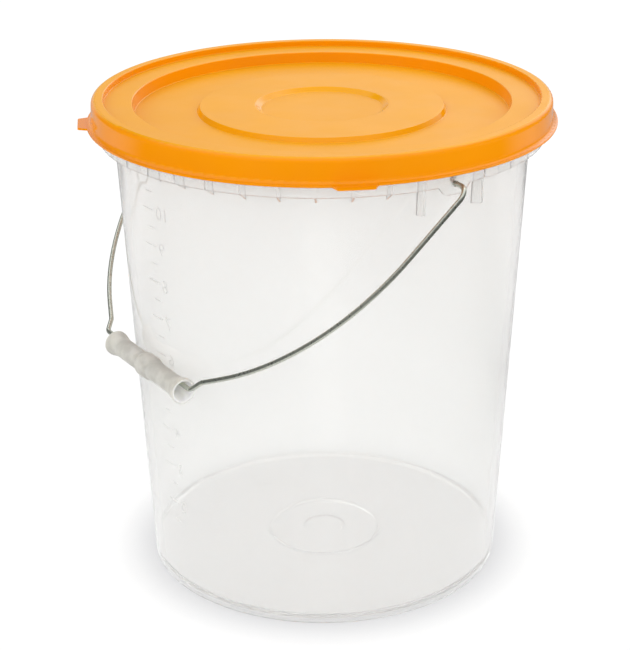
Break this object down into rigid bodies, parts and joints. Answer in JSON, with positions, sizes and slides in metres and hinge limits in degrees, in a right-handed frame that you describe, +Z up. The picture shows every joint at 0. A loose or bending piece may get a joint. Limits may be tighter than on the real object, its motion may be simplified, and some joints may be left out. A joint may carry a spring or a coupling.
{
  "type": "lidded plastic pail",
  "caption": "Translucent tapered plastic pail with a ribbed rim, a press-on lid with stacking recess and lift tabs, and a swinging wire bail with a loose tube grip.",
  "frame": {"origin": "middle of the pail's standing ring, on the surface it stands on", "axes": "+Z up along the pail's axis; X through the two bail ears; the bail hangs on the -Y side"},
  "size_m": [0.2908, 0.2784, 0.2975],
  "materials": {
    "clear_plastic": "near-clear, slightly milky moulded polypropylene, smooth",
    "lid_plastic": "glossy opaque orange moulded polypropylene",
    "wire": "drawn, galvanised steel wire",
    "grip_plastic": "milky natural plastic, satin"
  },
  "bodies": {
    "pail": {"pail": "clear_plastic"},
    "lid": {"lid": "lid_plastic"},
    "bail": {"bail_wire": "wire"},
    "grip": {"hand_grip": "grip_plastic"}
  },
  "joints": [
    {"name": "bail_swing", "type": "hinge", "parent": "pail", "child": "bail", "pos_m": [0, 0, 0.2755], "axis": [-1, 0, 0], "range_deg": [0, 269.28]},
    {"name": "grip_spin", "type": "hinge", "parent": "bail", "child": "grip", "pos_m": [0, -0.12501, 0.15204], "axis": [1, 0, 0], "continuous": true},
    {"name": "lid_lift", "type": "slide", "parent": "pail", "child": "lid", "axis": [0, 0, 1], "range_m": [0, 0.12]}
  ]
}
